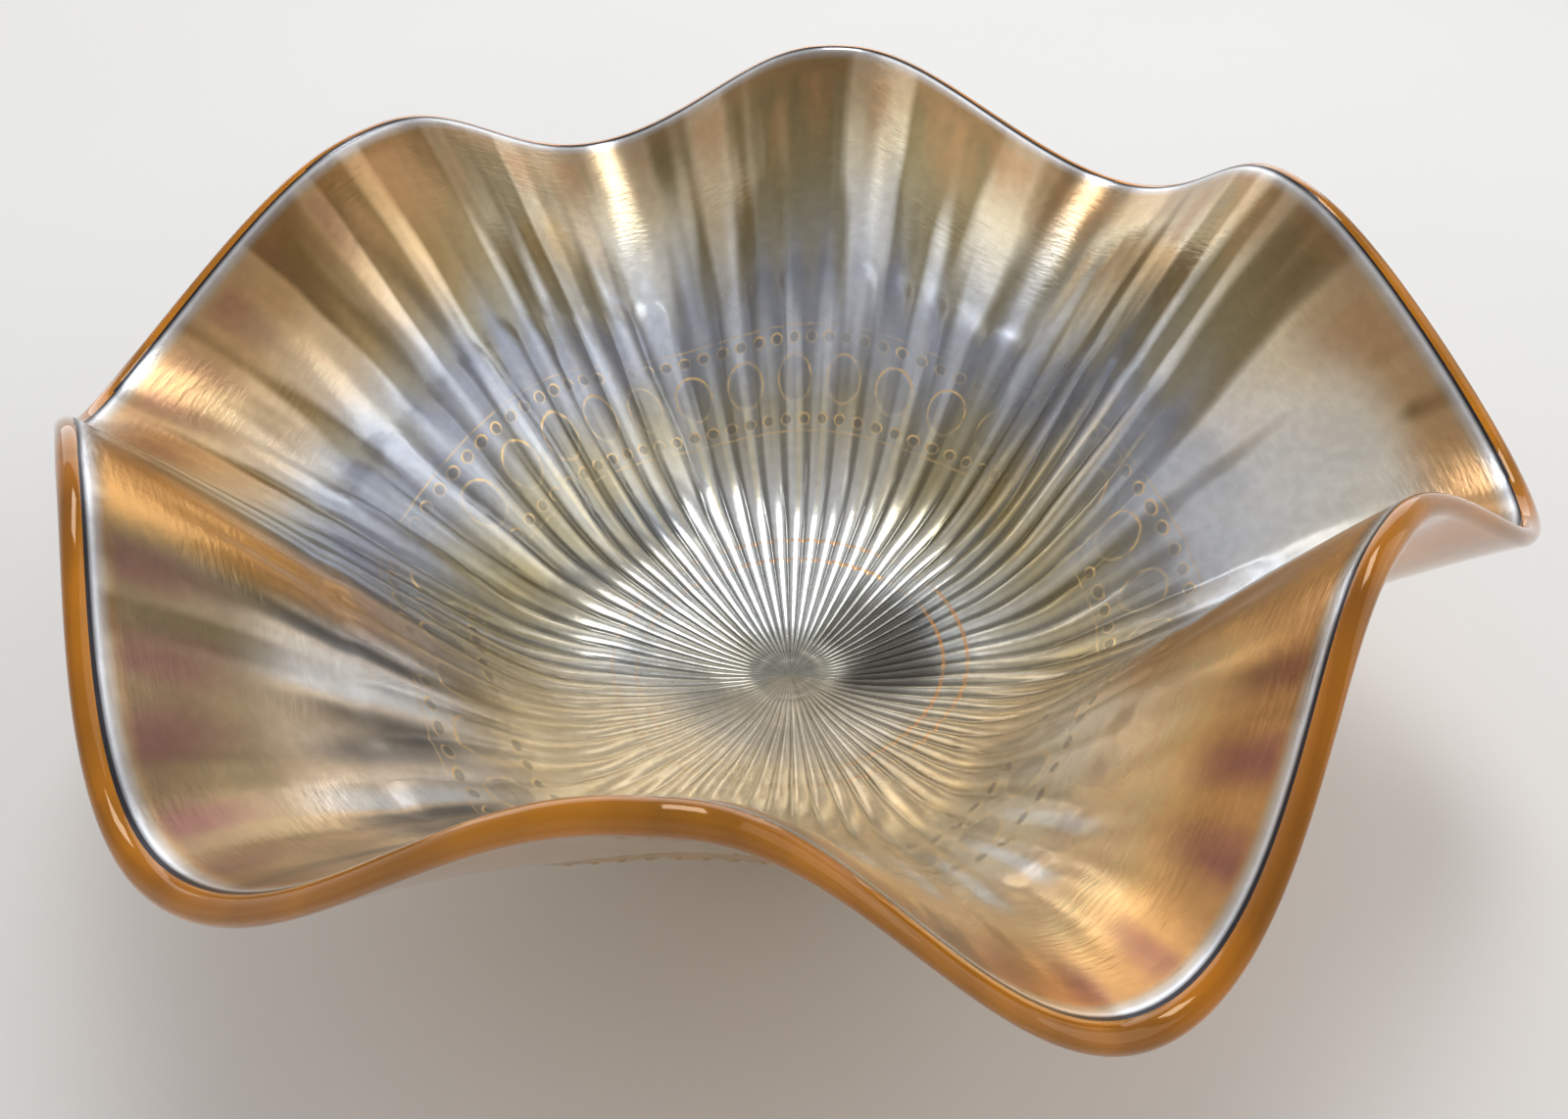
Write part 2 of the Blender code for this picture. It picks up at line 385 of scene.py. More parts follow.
outside_relief = row_of_caps(BAND_COUNTS["ovals"], band_path, OVAL_WIDTH, OVAL_LENGTH, OVAL_HEIGHT)
for name, side in BEAD_SIDES.items():
    bead_path = band_path + side * BEAD_DISTANCE
    outside_relief += row_of_caps(BAND_COUNTS[name], bead_path, BEAD_RADIUS, BEAD_RADIUS, BEAD_HEIGHT)
    thread_path = band_path + side * THREAD_DISTANCE
    outside_relief += THREAD_HEIGHT * np.exp(-(((outside_path - thread_path) / THREAD_WIDTH) ** 2))
print("outside band:", BAND_COUNTS)

# %% [markdown]
# ## From rows to points
# Now the relief is added to the blank, the crimping bends it, and the neighbours of each point give its
# normal.

# %% Points and normals of the skin
relief = np.zeros((len(skin), COLUMNS))
relief[:len(inside)] = inside_relief
outside_start = len(inside) + len(edge) + len(outside_rim)
relief[outside_start:outside_start + len(outside_body)] = outside_relief


def place_points(rows, relief):
    """Points of these rows in space, with the relief added and the wall crimped."""
    crimp = rows[:, CRIMP, None]
    radius = rows[:, RADIUS, None] + relief * rows[:, OUT, None] + crimp * swing_out
    height = rows[:, HEIGHT, None] + relief * rows[:, UP, None] + crimp * swing_up
    return np.stack([radius * np.cos(azimuth), radius * np.sin(azimuth), height], axis=2)


def smooth_normals(points):
    """Unit normal of each point, from its neighbours along the rows and round the ring."""
    along = np.gradient(points, axis=0)
    around = np.roll(points, -1, axis=1) - np.roll(points, 1, axis=1)
    normal = np.cross(along, around)
    return normal / np.linalg.norm(normal, axis=2, keepdims=True)


skin_points = place_points(skin, relief)
skin_normals = smooth_normals(skin_points)
recess_points = place_points(recess, np.zeros((len(recess), COLUMNS)))
recess_normals = smooth_normals(recess_points)
crown = skin_points[len(inside) + len(edge) // 2, :, 2]
print(f"the edge stands {crown.min() / MM:.1f} to {crown.max() / MM:.1f} mm above the table")

# %% [markdown]
# ## Finishes: a small workbench for nodes
# Every finish is a node tree. The class below only shortens the writing: each method adds a node, joins
# what it is given and hands back the output, so that a finish reads from top to bottom like a recipe. Colours
# are laid one over the other, each where a mask between 0 and 1 lets it.

# %% Workbench for finishes


class Finish:
    """A finish under construction: a material, its shader and short ways to add nodes."""

    def __init__(self, name):
        self.material = bpy.data.materials.new(name)
        self.material.use_nodes = True
        self.tree = self.material.node_tree
        self.shader = self.tree.nodes["Principled BSDF"]
        self.colour = None

    def join(self, socket, value):
        """Sets a socket to a plain value, or links it to another node's output."""
        if isinstance(value, bpy.types.NodeSocket):
            self.tree.links.new(value, socket)
        else:
            socket.default_value = value

    def set(self, **values):
        """Sets the shader's own sockets, named with underscores."""
        for name, value in values.items():
            self.join(self.shader.inputs[name.replace("_", " ")], value)

    def attribute(self, name, output="Fac"):
        """A number or a vector that the mesh carries at each point."""
        node = self.tree.nodes.new("ShaderNodeAttribute")
        node.attribute_name = name
        return node.outputs[output]

    def place(self):
        """Place on the object, in metres."""
        return self.tree.nodes.new("ShaderNodeTexCoord").outputs["Object"]

    def math(self, operation, first, second=0.0, third=0.0):
        node = self.tree.nodes.new("ShaderNodeMath")
        node.operation = operation
        for socket, value in zip(node.inputs, (first, second, third)):
            self.join(socket, value)
        return node.outputs[0]

    def chain(self, operation, *values):
        """Any number of values, joined one after the other by the same operation."""
        result = values[0]
        for value in values[1:]:
            result = self.math(operation, result, value)
        return result

    def product(self, *values):
        return self.chain("MULTIPLY", *values)

    def total(self, *values):
        return self.chain("ADD", *values)

    def scaled(self, value, factor, offset=0.0):
        """A value times a factor, with an offset added."""
        return self.math("MULTIPLY_ADD", value, factor, offset)

    def without(self, mask):
        """The rest of a mask: 1 where the mask is 0."""
        return self.math("SUBTRACT", 1.0, mask)

    def spread(self, value, low, high, to_low=0.0, to_high=1.0):
        """Maps a range of a value to another, with smooth ends."""
        node = self.tree.nodes.new("ShaderNodeMapRange")
        node.interpolation_type = "SMOOTHSTEP"
        for socket, number in zip(node.inputs, (value, low, high, to_low, to_high)):
            self.join(socket, number)
        return node.outputs[0]

    def vector_math(self, operation, vector, second, output="Vector"):
        node = self.tree.nodes.new("ShaderNodeVectorMath")
        node.operation = operation
        self.join(node.inputs[0], vector)
        node.inputs[1].default_value = second
        return node.outputs[output]

    def noise(self, vector, scale, detail=3.0, roughness=0.5):
        """Soft noise, with this many waves to each unit of the vector."""
        node = self.tree.nodes.new("ShaderNodeTexNoise")
        self.join(node.inputs["Vector"], vector)
        node.inputs["Scale"].default_value = scale
        node.inputs["Detail"].default_value = detail
        node.inputs["Roughness"].default_value = roughness
        return node.outputs["Fac"]

    def bands(self, value, stops):
        """A run of colours by place: each stop is a place from 0 to 1 and a colour."""
        node = self.tree.nodes.new("ShaderNodeValToRGB")
        ramp = node.color_ramp
        while len(ramp.elements) < len(stops):
            ramp.elements.new(1.0)
        for element, (place, colour) in zip(ramp.elements, stops):
            element.position = place
            element.color = (*colour, 1.0)
        self.join(node.inputs["Fac"], value)
        return node.outputs["Color"]

    def mix(self, share, first, second, mode="MIX"):
        """Mixes two colours, each a plain colour or another node's output."""
        node = self.tree.nodes.new("ShaderNodeMix")
        node.data_type = "RGBA"
        node.blend_type = mode
        self.join(node.inputs["Factor"], share)
        for socket, colour in zip((node.inputs["A"], node.inputs["B"]), (first, second)):
            self.join(socket, colour if isinstance(colour, bpy.types.NodeSocket) else (*colour, 1.0))
        return node.outputs["Result"]

    def lay(self, colour, *masks, mode="MIX"):
        """Lays a colour over the finish so far, where all of the masks let it."""
        self.colour = self.mix(self.product(*masks), self.colour, colour, mode)

    def bump(self, height, strength, distance, below=None):
        node = self.tree.nodes.new("ShaderNodeBump")
        node.inputs["Strength"].default_value = strength
        node.inputs["Distance"].default_value = distance
        self.join(node.inputs["Height"], height)
        if below is not None:
            self.join(node.inputs["Normal"], below)
        return node.outputs["Normal"]


print("workbench:", Finish.__doc__)

# %% [markdown]
# ## Finding the way round the bowl
# The film was sprayed by hand, so it differs from side to side. Each point of the mesh carries its place up
# the wall and its direction from the bowl's axis. A finish of the glass turns these into masks: towards one
# azimuth, in waves round the bowl, or on one patch of the wall. A painted image could hold the same masks,
# but these need no file and stay sharp close up.

# %% Masks on the bowl


class GlassFinish(Finish):
    """A finish of the bowl's glass, which also knows its place round the bowl and up the wall."""

    def __init__(self, name):
        super().__init__(name)
        self.wall_place = self.attribute("film_place")
        self.sweep = self.attribute("sweep", "Vector")
        split = self.tree.nodes.new("ShaderNodeSeparateXYZ")
        self.join(split.inputs[0], self.sweep)
        turn = self.math("ARCTAN2", split.outputs["Y"], split.outputs["X"])
        self.around = self.math("DIVIDE", turn, 2 * np.pi)

    def turned_to(self, degrees):
        """1 where the bowl's wall lies at this azimuth, -1 on the far side."""
        direction = (np.cos(np.radians(degrees)), np.sin(np.radians(degrees)), 0)
        return self.vector_math("DOT_PRODUCT", self.sweep, direction, "Value")

    def toward(self, degrees, *ranges):
        """A mask that comes in towards an azimuth."""
        return self.spread(self.turned_to(degrees), *ranges)

    def wave(self, waves, lag=0.0):
        """A cosine that runs this many times round the bowl."""
        return self.math("COSINE", self.scaled(self.around, 2 * np.pi * waves, lag))

    def streaks(self, waves, detail, roughness=0.5):
        """Noise drawn out along the wall or round it, by its number of waves on each axis of the sweep."""
        return self.noise(self.vector_math("MULTIPLY", self.sweep, waves), 1.0, detail, roughness)

    def patch(self, side, turn, rise, fall, strength=1.0, fall_by=None):
        """Mask of a patch towards one side, which comes in and goes out again on the way up the wall."""
        falling = self.wall_place if fall_by is None else fall_by
        return self.product(
            self.toward(side, *turn),
            self.spread(self.wall_place, *rise),
            self.spread(falling, *fall, 0.0, strength),
        )


print("masks:", GlassFinish.__doc__)

# %% [markdown]
# ## The sprayed film
# The film's colour follows its thickness. It was sprayed from the rim side, so it runs in bands from the edge
# to the floor, and it ran down the hot wall in streaks. So two runs of colours, a golden one and a silvery
# one, are placed up the wall, and noise that is drawn out along the wall moves and mixes them. Each ray pulls
# the bands up a little, like a tongue.

# %% Colours of the film
FILM_RUNS = [
    (0.00, (0.34, 0.33, 0.27), (0.44, 0.43, 0.38)),
    (0.10, (0.42, 0.41, 0.36), (0.56, 0.55, 0.49)),
    (0.24, (0.74, 0.76, 0.74), (0.86, 0.88, 0.87)),
    (0.36, (0.60, 0.57, 0.46), (0.84, 0.84, 0.79)),
    (0.46, (0.47, 0.40, 0.22), (0.76, 0.71, 0.58)),
    (0.54, (0.39, 0.36, 0.26), (0.68, 0.68, 0.64)),
    (0.60, (0.32, 0.34, 0.37), (0.63, 0.67, 0.75)),
    (0.67, (0.30, 0.33, 0.41), (0.66, 0.72, 0.84)),
    (0.73, (0.31, 0.30, 0.26), (0.84, 0.88, 0.92)),
    (0.79, (0.29, 0.25, 0.15), (0.95, 0.93, 0.85)),
    (0.85, (0.27, 0.215, 0.105), (0.93, 0.83, 0.60)),
    (0.90, (0.23, 0.17, 0.075), (0.60, 0.46, 0.28)),
    (0.931, (0.29, 0.18, 0.08), (0.52, 0.39, 0.25)),
    # the last stops paint a reflection along the edge: a pale line and then a dark one
    (0.938, (0.46, 0.42, 0.40), (0.62, 0.58, 0.55)),
    (0.9405, (0.84, 0.88, 0.94), (0.86, 0.90, 0.96)),
    (0.9427, (0.84, 0.88, 0.94), (0.86, 0.90, 0.96)),
    (0.9435, (0.03, 0.03, 0.04), (0.03, 0.03, 0.04)),
]
GOLDEN_RUN = [(place, golden) for place, golden, silver in FILM_RUNS]
SILVER_RUN = [(place, silver) for place, golden, silver in FILM_RUNS]
FILM_END = 0.947
EDGE_SIDE = 265.0
EDGE_WANDER = 0.005
TIP_REACH = -0.022
STREAKS = (8.0, 8.0, 0.9)
FINE_STREAKS = (18.0, 18.0, 1.6)

film = GlassFinish("sprayed_film")
place = film.wall_place
flared = film.attribute("flare")
spot = film.place()
streak = film.streaks(STREAKS, detail=1.0)
fine_streak = film.streaks(FINE_STREAKS, detail=1.0)
cloud = film.noise(spot, 34.0, detail=1.5)
ridge = film.wave(RAYS)
shift = film.total(film.scaled(streak, 0.10, -0.05), film.scaled(cloud, 0.10, -0.05))
drawn_in = film.scaled(film.turned_to(EDGE_SIDE), EDGE_WANDER, -EDGE_WANDER)
thickness = film.total(
    place,
    film.product(shift, film.spread(place, 0.92, 0.87)),
    film.product(drawn_in, film.spread(place, 0.87, 0.92)),
    film.product(ridge, film.spread(place, 0.62, 0.69), film.spread(place, 0.79, 0.72, 0.0, TIP_REACH)),
)
print("film:", len(FILM_RUNS), "stops, each golden or silver")

# %% [markdown]
# ## Where the film is silver
# The lobes caught more of the spray than the folds, and one side of the bowl is pushed more than the other.
# Each is a push towards silver, kept under its own name, and one narrow push is a painted highlight streak.
# The sum of them all mixes the two runs of colours. High on the wall the mix is sharper, so that the streaks
# stand out.

# %% Mix of gold and silver
LIGHT_SIDE = 275.0
FRONT_SIDE = 250.0
HIGHLIGHT_STREAK_SIDE = 78.0
STRIPED_LOBE = 160.0
BRIGHTER_SIDES = (20.0, 172.0)
BRIGHT_LOBE = 347.0

upper_wall = film.spread(place, 0.6, 0.75)
stripe = film.wave(RAYS / 2, film.product(streak, 9.0))
bright_zone = film.patch(BRIGHT_LOBE, turn=(0.88, 0.97), rise=(0.60, 0.68), fall=(0.91, 0.85))
ray_reach = (film.spread(place, 0.52, 0.66, 0.0, 0.075), film.spread(place, 0.86, 0.74, 0.35, 1.0))
side_reach = (film.spread(place, 0.90, 0.72, 0.2, 1.0), film.spread(place, 0.20, 0.42, 0.3, 1.0))
front_reach = film.spread(place, 0.50, 0.40, 0.0, 0.22)
broad_streak = film.scaled(streak, 0.30, film.scaled(fine_streak, 0.04, -0.16))
pushes = {
    "fine streaks": film.product(fine_streak, 0.45),
    "streaks": film.product(streak, 0.30),
    "clouds": film.product(cloud, 0.25),
    "lobes": film.product(film.scaled(flared, 0.18, -0.10), upper_wall),
    "light side": film.product(film.toward(LIGHT_SIDE, 0.1, 0.95, -0.03, 0.16), *side_reach),
    "rays": film.product(ridge, *ray_reach),
    "bright lobe": film.product(bright_zone, 0.32),
    "broad streaks": film.product(broad_streak, upper_wall),
    "front": film.product(film.toward(FRONT_SIDE, 0.80, 0.97), front_reach),
    "striped lobe": film.product(stripe, film.toward(STRIPED_LOBE, 0.88, 0.97, 0.0, 0.12), upper_wall),
    # painted highlight: one narrow bright streak high on the wall
    "painted highlight streak": film.product(film.toward(HIGHLIGHT_STREAK_SIDE, 0.9970, 0.9996, 0.0, 0.30), upper_wall),
}
for side in BRIGHTER_SIDES:
    pushes[f"side at {side}"] = film.product(film.toward(side, 0.86, 0.98, 0.0, 0.04), upper_wall)
push = film.total(*pushes.values())
soft_share = film.spread(push, 0.38, 0.63)
clear_share = film.spread(push, 0.42, 0.58)
silver_share = film.scaled(film.math("SUBTRACT", clear_share, soft_share), upper_wall, soft_share)
film.colour = film.mix(silver_share, film.bands(thickness, GOLDEN_RUN), film.bands(thickness, SILVER_RUN))
print("pushes towards silver:", ", ".join(pushes))

# %% [markdown]
# ## The floor of the bowl
# On one side of the floor a nearly white patch is a painted reflection of the overhead light, and on another
# a dark patch is a painted dark reflection. Higher up lie a side that is darker and a patch of steel blue.
# Each is a patch laid over the bands, so that one number moves it round the bowl.

# %% Patches of the floor
FLOOR_HIGHLIGHT_SIDE = 98.0
PAINTED_FLOOR_HIGHLIGHT = (0.95, 0.98, 1.00)
DARK_REFLECTION_SIDE = 22.0
PAINTED_DARK_REFLECTION = (0.07, 0.065, 0.055)
DARKER_SIDE = 322.0
DARKER_TONE = (0.70, 0.70, 0.66)
BLUE_SIDE = 148.0
STEEL_BLUE = (0.20, 0.29, 0.42)

# painted reflection of the overhead light: a nearly white patch on the floor
painted_floor_highlight = film.patch(FLOOR_HIGHLIGHT_SIDE, (0.80, 0.97), (0.06, 0.12), (0.56, 0.38), 0.85, fall_by=thickness)
film.lay(PAINTED_FLOOR_HIGHLIGHT, painted_floor_highlight)
# painted dark reflection: a dark patch on the floor
painted_dark_reflection = film.patch(DARK_REFLECTION_SIDE, (0.50, 0.90), (0.05, 0.10), (0.27, 0.17), 0.85, fall_by=thickness)
film.lay(PAINTED_DARK_REFLECTION, painted_dark_reflection)
# a darker patch on one side of the lower wall
darker_patch = film.patch(DARKER_SIDE, (0.70, 0.95), (0.17, 0.23), (0.44, 0.34), 0.8)
film.lay(DARKER_TONE, darker_patch, mode="MULTIPLY")
blue = film.patch(BLUE_SIDE, (0.70, 0.92), (0.32, 0.38), (0.52, 0.44), 0.6)
film.lay(STEEL_BLUE, blue, film.spread(cloud, 0.48, 0.62))
print("floor: white side at", FLOOR_HIGHLIGHT_SIDE, "degrees, worn side at", DARK_REFLECTION_SIDE)

# %% [markdown]
# ## Lines of the rays
# Between the rays the grooves carry painted shade, weaker towards one side, and one flank of each ray carries
# a painted highlight, golden low on the wall and silver above. The pointiness of the mesh could find such
# lines, but only as finely as its points lie. A cosine with one wave to each ray draws both.

# %% Painted shade in the grooves, painted highlights on the flanks
GROOVE_SHADE = (0.20, 0.20, 0.19)
RAY_GOLD_HIGHLIGHT = (0.96, 0.88, 0.64)
RAY_SILVER_HIGHLIGHT = (0.84, 0.90, 0.97)
RAY_HIGHLIGHT_LAG = 0.9

# painted shade in the grooves between the rays
film.lay(
    GROOVE_SHADE,
    film.spread(ridge, -0.1, -1.0),
    film.spread(place, 0.70, 0.42, 0.0, 0.80),
    film.toward(LIGHT_SIDE, -0.3, 0.6, 1.0, 0.5),
    mode="MULTIPLY",
)
# painted highlight on one flank of each ray
film.lay(
    film.mix(film.spread(place, 0.52, 0.60), RAY_GOLD_HIGHLIGHT, RAY_SILVER_HIGHLIGHT),
    film.spread(film.wave(RAYS, RAY_HIGHLIGHT_LAG), 0.55, 1.0),
    film.spread(place, 0.30, 0.40, 0.0, 0.75),
    film.spread(place, 0.70, 0.58),
    film.spread(streak, 0.35, 0.60, 0.15, 1.0),
)
print("lines along", RAYS, "rays")

# %% [markdown]
# ## Honey and cream
# One side of the film is warmer, like honey, and so is the top of the striped lobe. Multiplying by a warm
# colour keeps the streaks under it. Two cream-coloured patches lie low on that side.

# %% Honey side and cream patches
HONEY_SIDE = 275.0
UPPER_HONEY_SIDE = 290.0
HONEY = (1.14, 0.90, 0.62)
UPPER_HONEY = (1.14, 0.79, 0.45)
CREAM_SIDE = 238.0
UPPER_CREAM_SIDE = 302.0
CREAM = (0.95, 0.79, 0.52)

honey_turn = film.product(film.turned_to(HONEY_SIDE), film.without(upper_wall))
honey_turn = film.scaled(film.turned_to(UPPER_HONEY_SIDE), upper_wall, honey_turn)
lobe_honey = film.product(film.toward(STRIPED_LOBE, 0.88, 0.97, 0.0, 0.6), film.spread(place, 0.72, 0.80))
film.lay(
    film.mix(upper_wall, HONEY, UPPER_HONEY),
    film.math("MAXIMUM", film.spread(honey_turn, -0.15, 0.75), lobe_honey),
    film.without(bright_zone),
    film.spread(place, 0.12, 0.34, 0.45, 1.0),
    film.spread(thickness, 0.934, 0.924),
    mode="MULTIPLY",
)
film.lay(CREAM, film.patch(CREAM_SIDE, (0.60, 0.90), (0.14, 0.22), (0.56, 0.46), 0.65))
film.lay(CREAM, film.patch(UPPER_CREAM_SIDE, (0.80, 0.95), (0.40, 0.50), (0.72, 0.64), 0.45))
print("honey side at", HONEY_SIDE, "degrees, cream at", CREAM_SIDE, "and", UPPER_CREAM_SIDE)

# %% [markdown]
# ## Flutes, opal and olive
# Above the rays, the soft flutes of one lobe carry a painted reflection, bright and dark by turns, with an
# olive band above them. The tips of the rays on another side are opal, and one lobe is bright all over. Waves
# round the bowl draw the opal, as they draw the rays, and wider waves that the streaks push about draw the
# flutes.

# %% Flutes, opal tips and olive band
FLUTE_SIDE = 226.0
FLUTE_TURN = (0.80, 0.95)
FLUTE_BRIGHT = (0.94, 0.96, 0.98)
FLUTE_DARK_REFLECTION = (0.13, 0.13, 0.13)
OPAL_SIDE = 290.0
OLIVE = (0.21, 0.17, 0.105)

flute_zone = film.patch(FLUTE_SIDE, FLUTE_TURN, (0.57, 0.66), (0.84, 0.72), 0.85, fall_by=thickness)
# painted reflection in the flutes: bright and dark stripes by turns
film.lay(FLUTE_BRIGHT, flute_zone, film.spread(stripe, -0.2, 1.0))
film.lay(FLUTE_DARK_REFLECTION, flute_zone, film.spread(stripe, 0.1, -1.0))
opal = film.patch(OPAL_SIDE, (0.94, 0.985), (0.55, 0.63), (0.76, 0.68), 0.65, fall_by=thickness)
film.lay(FLUTE_BRIGHT, opal, film.spread(ridge, 0.2, 1.0))
film.lay(FLUTE_BRIGHT, bright_zone, 0.45)
film.lay(OLIVE, film.patch(FLUTE_SIDE, FLUTE_TURN, (0.76, 0.84), (0.935, 0.92), 0.70, fall_by=thickness))
print("flutes at", FLUTE_SIDE, "degrees, opal tips at", OPAL_SIDE)

# %% [markdown]
# ## Amber folds and wine-coloured patches
# The folds are deep amber, where the glass was gathered. Under the rim, at the ends of the rays, three lobes
# have wine-coloured patches, and the cooler side has soft peach ones. Noise breaks them up. The mesh carries
# how far each point is from fold to lobe, so the amber finds the folds by itself.

# %% Amber folds, wine and peach
FOLD_SIDE = 264.0
FOLD_AMBER = (0.68, 0.34, 0.08)
WINE_LOBES = ((300.0, 0.78), (226.0, 0.58), (162.0, 0.50))
WINE = (0.25, 0.075, 0.10)
ROSE_TURN = 0.75
ROSE_PATCHES = (-9.0, 9.0, 3.0)
PEACH = (0.52, 0.28, 0.13)
UNDER_RIM = {"rise": (0.80, 0.90), "fall": (0.938, 0.920)}

fold_width = film.toward(FOLD_SIDE, 0.3, 0.9, 0.12, 0.22)
film.lay(
    FOLD_AMBER,
    film.spread(flared, fold_width, 0.0),
    film.spread(place, 0.52, 0.76),
    film.toward(FOLD_SIDE, 0.25, 0.48, 0.0, 0.95),
    film.spread(thickness, 0.936, 0.92),
)
rose_noise = film.streaks(ROSE_PATCHES, detail=2.0, roughness=0.6)
rose_wave = film.scaled(rose_noise, 3.0, film.scaled(film.wave(RAYS, ROSE_TURN), 0.45, -1.5))
for side, strength in WINE_LOBES:
    lobe = film.patch(side, turn=(0.955, 0.985), strength=strength, **UNDER_RIM)
    film.lay(WINE, lobe, film.spread(rose_wave, -0.35, 0.75))
peach = film.patch(HONEY_SIDE, turn=(0.5, 0.0), strength=0.5, **UNDER_RIM)
film.lay(PEACH, peach, film.spread(rose_noise, 0.46, 0.62), film.without(bright_zone))
print("amber folds round", FOLD_SIDE, "degrees, wine-coloured lobes at", [side for side, _ in WINE_LOBES])

# %% [markdown]
# ## Painted refraction of the ornament
# The beads, ovals and threads outside, and the foot ring below, get a painted refraction: fine golden lines.
# Drawing them with a few nodes keeps them sharp at any size, and they fade in and out as the film does.

# %% Marks of the ornament
LINE_WIDTH = 0.42 * MM
CURVE_STEP = 0.001


def along_wall(finish, share):
    """Distance up the wall, in metres, from this share of its curve."""
    ends = wall_line([share - CURVE_STEP, share + CURVE_STEP])
    length = np.linalg.norm(ends[1] - ends[0]) / (2 * CURVE_STEP) / (EDGE_PLACE - FLOOR_PLACE)
    return finish.product(finish.math("SUBTRACT", finish.wall_place, film_place(share)), length)


def line_at(finish, distance, width=LINE_WIDTH):
    """1 where a distance in metres is nothing, fading out over the width of a line."""
    return finish.spread(finish.math("ABSOLUTE", distance), width, 0.0)


def cap_marks(finish, count, share, half_width, half_length):
    """The outline and the middle of each cap in one row of the ornament."""
    pitch = 2 * np.pi * wall_line([share])[0, 0] / count
    turn = finish.math("FRACT", finish.scaled(finish.around, count, 0.5))
    aside = finish.scaled(turn, pitch / half_width, -pitch / half_width / 2)
    upward = finish.math("DIVIDE", along_wall(finish, share), half_length)
    reach = finish.math("SQRT", finish.scaled(aside, aside, finish.product(upward, upward)))
    outline = line_at(finish, finish.scaled(reach, half_width, -half_width))
    outline = finish.product(outline, finish.spread(upward, -0.9, 0.5, 0.35, 1.0))
    return outline, finish.spread(reach, 1.0, 0.75)


def share_at(path):
    """Share of the wall's curve at a distance along the outside."""
    return float(np.interp(path, outside_path[:, 0], outside_shares))


def band_marks(finish):
    """Lines round the ovals and beads of the whole band, and the middles of its caps."""
    lines, middles = cap_marks(finish, BAND_COUNTS["ovals"], BAND_SHARE, OVAL_WIDTH, OVAL_LENGTH)
    middles = finish.product(middles, 0.5)
    for name, side in BEAD_SIDES.items():
        bead_share = share_at(band_path + side * BEAD_DISTANCE)
        outline, middle = cap_marks(finish, BAND_COUNTS[name], bead_share, BEAD_RADIUS, BEAD_RADIUS)
        thread = line_at(finish, along_wall(finish, share_at(band_path + side * THREAD_DISTANCE)))
        lines = finish.chain("MAXIMUM", lines, outline, finish.product(thread, 0.5))
        middles = finish.math("MAXIMUM", middles, middle)
    return lines, middles


gold_lines, shaded = band_marks(film)
print("marks for", ", ".join(BAND_COUNTS))

# %% [markdown]
# ## Golden lines
# The marks come out in gold where the film lets them through, a painted refraction with a painted glint here
# and there, and the middles of the caps are a little darker, a painted shade. The foot ring's painted glow is
# strongest on the side of the painted dark reflection. A fine speckle finishes the colour.

# %% Golden lines and speckle
GOLD_REFRACTION = (1.00, 0.70, 0.34)
SHADED_CAP = (0.16, 0.14, 0.11)
FOOT_LINE_WIDTH = 0.75 * MM
FOOT_GLOW = (0.95, 0.50, 0.20)

foot_lines = 0.0
for foot_radius in (FOOT_RADIUS, FOOT_INSIDE):
    foot_share = np.interp(foot_radius, inside[:, RADIUS], inside_share[:, 0])
    foot_line = line_at(film, along_wall(film, foot_share), FOOT_LINE_WIDTH)
    foot_lines = film.math("MAXIMUM", foot_lines, foot_line)
seen = film.spread(film.noise(spot, 26.0, detail=2.0), 0.42, 0.60, 0.08, 1.0)
glints = film.spread(film.noise(spot, 330.0, detail=1.0), 0.35, 0.62, 0.25, 1.0)
foot_seen = film.spread(film.noise(spot, 60.0, detail=2.0), 0.40, 0.55, 0.1, 0.9)
speckle = film.spread(film.noise(spot, 420.0, detail=2.0), 0.3, 0.75, 0.94, 1.05)
# painted shade in the middles of the caps seen through the glass
film.lay(SHADED_CAP, shaded, seen, 0.45)
# painted refraction of the ornament, with painted glints
film.lay(GOLD_REFRACTION, gold_lines, seen, glints)
# painted glow of the foot ring seen through the glass
film.lay(FOOT_GLOW, foot_lines, foot_seen, film.toward(DARK_REFLECTION_SIDE, -0.4, 0.7, 0.25, 1.0))
film.lay(speckle, 1.0, mode="MULTIPLY")
print("golden lines for", ", ".join(BAND_COUNTS), "and the foot")

# %% [markdown]
# ## The film's shine
# Along the rays the film is glossy, and above them it is satin with a fine pebble, as the hot glass left it.
# It crinkled along the rim when the wall was pulled out, so a noise drawn out round the bowl is laid over it.
# It mirrors like metal, so most of the shader is metallic, and the rest lets light through to the glass.

# %% Shine of the film
CRINKLES = (26.0, 26.0, 190.0)

pebble = film.bump(film.noise(spot, 260.0, detail=1.0), 0.12, 0.4 * MM)
crinkle = film.streaks(CRINKLES, detail=2.0)
crinkle = film.product(crinkle, film.spread(place, 0.68, 0.80))
crinkled = film.bump(crinkle, 0.22, 0.30 * MM, below=pebble)
satin = film.bump(film.noise(spot, 1100.0, detail=1.0), 0.14, 0.1 * MM, below=crinkled)
gloss = film.spread(place, 0.45, 0.75, 0.18, 0.23)
film.set(
    Base_Color=film.colour,
    Metallic=0.7,
    Roughness=film.scaled(cloud, 0.10, gloss),
    IOR=1.52,
    Transmission_Weight=0.5,
    Normal=satin,
)
print("finish:", film.material.name)

# %% [markdown]
# ## Amber glass
# Outside, the bowl shows the glass itself: honey at the foot, where there is little film, and deep amber at
# the rim, where the spray was heaviest. It is glossy and lets light through, with a slight ripple from the
# mould. Its own thin film gives it a golden glance, and a clear coat on top the white one of glass.

